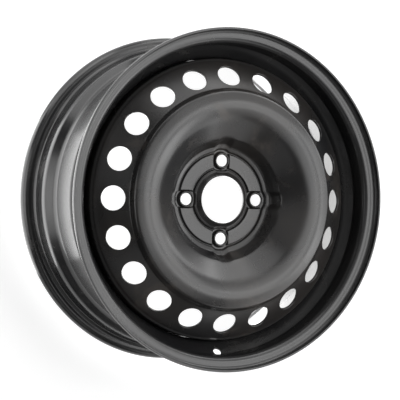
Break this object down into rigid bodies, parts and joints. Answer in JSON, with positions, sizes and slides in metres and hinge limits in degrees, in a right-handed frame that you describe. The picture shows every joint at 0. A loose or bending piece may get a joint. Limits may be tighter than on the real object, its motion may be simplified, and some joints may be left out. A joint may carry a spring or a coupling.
{
  "type": "steel wheel rim",
  "caption": "Pressed steel car wheel: rolled drop-centre rim with a welded vented disc, dished hub, lug holes, centre bore and valve hole.",
  "frame": {"origin": "middle of the inboard lip of the rim, on the surface that the wheel lies on", "axes": "+Z along the wheel's axis from the inboard side to the outboard face, lug holes on +X, +Y, -X and -Y, valve hole on -Y"},
  "size_m": [0.4716, 0.4716, 0.2104],
  "materials": {
    "rim_paint": "semi-gloss black stove enamel",
    "disc_paint": "semi-gloss black stove enamel",
    "weld_paint": "black enamel over a weld bead"
  },
  "bodies": {
    "root": {"rim": "rim_paint", "disc": "disc_paint", "weld_bead_01": "weld_paint", "weld_bead_02": "weld_paint", "weld_bead_03": "weld_paint", "weld_bead_04": "weld_paint", "weld_bead_05": "weld_paint", "weld_bead_06": "weld_paint", "weld_bead_07": "weld_paint", "weld_bead_08": "weld_paint"}
  },
  "joints": []
}
